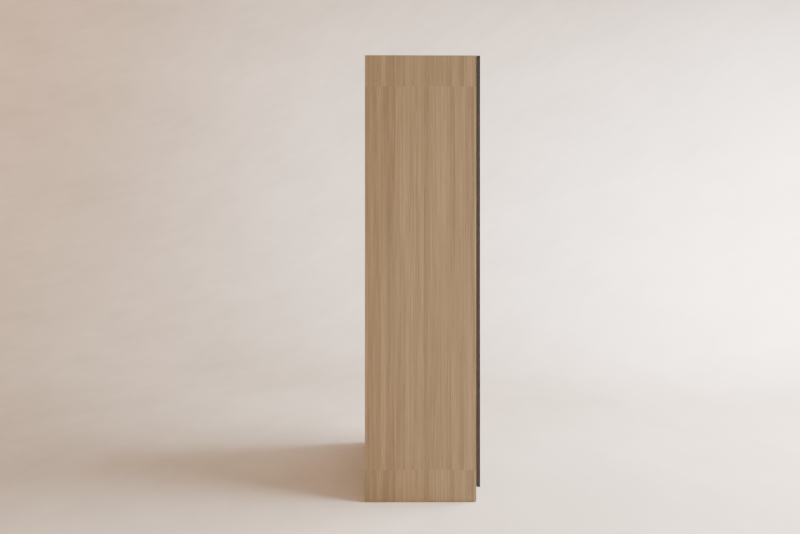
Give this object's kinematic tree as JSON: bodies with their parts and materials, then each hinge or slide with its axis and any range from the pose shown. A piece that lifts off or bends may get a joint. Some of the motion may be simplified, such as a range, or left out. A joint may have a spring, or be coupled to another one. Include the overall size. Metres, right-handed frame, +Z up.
{
  "type": "pantry cabinet",
  "caption": "Tall free-standing pantry cabinet with full-height overlay doors on concealed hinges, shelved bays, a recessed plinth and levelling feet.",
  "frame": {"origin": "middle of the footprint, on the floor, with the doors closed and the feet screwed in", "axes": "+Z up, -Y out of the doors, +X to the right as seen facing the doors"},
  "size_m": [1.2, 0.6, 2.32],
  "materials": {
    "oak_veneer": "satin lacquered light oak veneer with straight vertical grain",
    "oak_board": "satin oak-faced board",
    "oak_edge": "oak edge band",
    "back_board": "plain light fibreboard",
    "door_board": "matt charcoal-brown lacquered board",
    "pull_metal": "matt charcoal-brown powder coat",
    "fitting_steel": "nickel-plated pressed steel",
    "hinge_steel": "dark nickel-plated pressed steel",
    "beech": "raw beech",
    "nylon": "black moulded nylon",
    "white_plastic": "off-white moulded plastic",
    "clear_bumper": "soft translucent bumper"
  },
  "bodies": {
    "carcass": {"left_side_panel": "oak_board", "left_leaf_top": "oak_veneer", "left_leaf_main": "oak_veneer", "left_leaf_bottom": "oak_veneer", "left_back_panel": "back_board", "left_shelf_1": "oak_board", "left_shelf_2": "oak_board", "left_shelf_3": "oak_board", "left_shelf_4": "oak_board", "left_shelf_5": "oak_board", "right_side_panel": "oak_board", "right_leaf_top": "oak_veneer", "right_leaf_main": "oak_veneer", "right_leaf_bottom": "oak_veneer", "right_back_panel": "back_board", "right_shelf_1": "oak_board", "right_shelf_2": "oak_board", "right_shelf_3": "oak_board", "right_shelf_4": "oak_board", "right_shelf_5": "oak_board", "top_panel": "oak_board", "bottom_panel": "oak_board", "centre_divider": "oak_board", "plinth_front": "door_board", "plinth_rear": "back_board", "hanging_rail": "back_board", "shelf_pins": "fitting_steel", "panel_edge_bands": "oak_edge", "shelf_edge_bands": "oak_edge", "cam_bolts": "fitting_steel", "cam_discs": "fitting_steel", "dowels": "beech", "divider_screws": "fitting_steel", "foot_blocks": "nylon", "foot_block_screws": "fitting_steel", "wall_fixing_washers": "nylon", "magnet_catches": "white_plastic", "hinge_plates": "hinge_steel", "hinge_arms": "hinge_steel", "hinge_plate_screws": "hinge_steel"},
    "left_door": {"left_door_panel": "door_board", "left_pull_profile": "pull_metal", "left_hinge_cups": "hinge_steel", "left_hinge_pins": "hinge_steel", "left_cup_screws": "hinge_steel", "left_bumpers": "clear_bumper", "left_strike_plate": "fitting_steel"},
    "right_door": {"right_door_panel": "door_board", "right_pull_profile": "pull_metal", "right_hinge_cups": "hinge_steel", "right_hinge_pins": "hinge_steel", "right_cup_screws": "hinge_steel", "right_bumpers": "clear_bumper", "right_strike_plate": "fitting_steel"},
    "levelling_foot_left_front": {"foot_left_front": "nylon"},
    "levelling_foot_left_rear": {"foot_left_rear": "nylon"},
    "levelling_foot_middle_front": {"foot_middle_front": "nylon"},
    "levelling_foot_middle_rear": {"foot_middle_rear": "nylon"},
    "levelling_foot_right_front": {"foot_right_front": "nylon"},
    "levelling_foot_right_rear": {"foot_right_rear": "nylon"}
  },
  "joints": [
    {"name": "door_left_swing", "type": "hinge", "parent": "carcass", "child": "left_door", "pos_m": [-0.592, -0.291, 1.199], "axis": [0, 0, -1], "range_deg": [0, 95]},
    {"name": "door_right_swing", "type": "hinge", "parent": "carcass", "child": "right_door", "pos_m": [0.592, -0.291, 1.199], "axis": [0, 0, 1], "range_deg": [0, 95]},
    {"name": "foot_left_front_level", "type": "slide", "parent": "carcass", "child": "levelling_foot_left_front", "axis": [0, 0, -1], "range_m": [0, 0.01]},
    {"name": "foot_left_rear_level", "type": "slide", "parent": "carcass", "child": "levelling_foot_left_rear", "axis": [0, 0, -1], "range_m": [0, 0.01]},
    {"name": "foot_middle_front_level", "type": "slide", "parent": "carcass", "child": "levelling_foot_middle_front", "axis": [0, 0, -1], "range_m": [0, 0.01]},
    {"name": "foot_middle_rear_level", "type": "slide", "parent": "carcass", "child": "levelling_foot_middle_rear", "axis": [0, 0, -1], "range_m": [0, 0.01]},
    {"name": "foot_right_front_level", "type": "slide", "parent": "carcass", "child": "levelling_foot_right_front", "axis": [0, 0, -1], "range_m": [0, 0.01]},
    {"name": "foot_right_rear_level", "type": "slide", "parent": "carcass", "child": "levelling_foot_right_rear", "axis": [0, 0, -1], "range_m": [0, 0.01]}
  ]
}
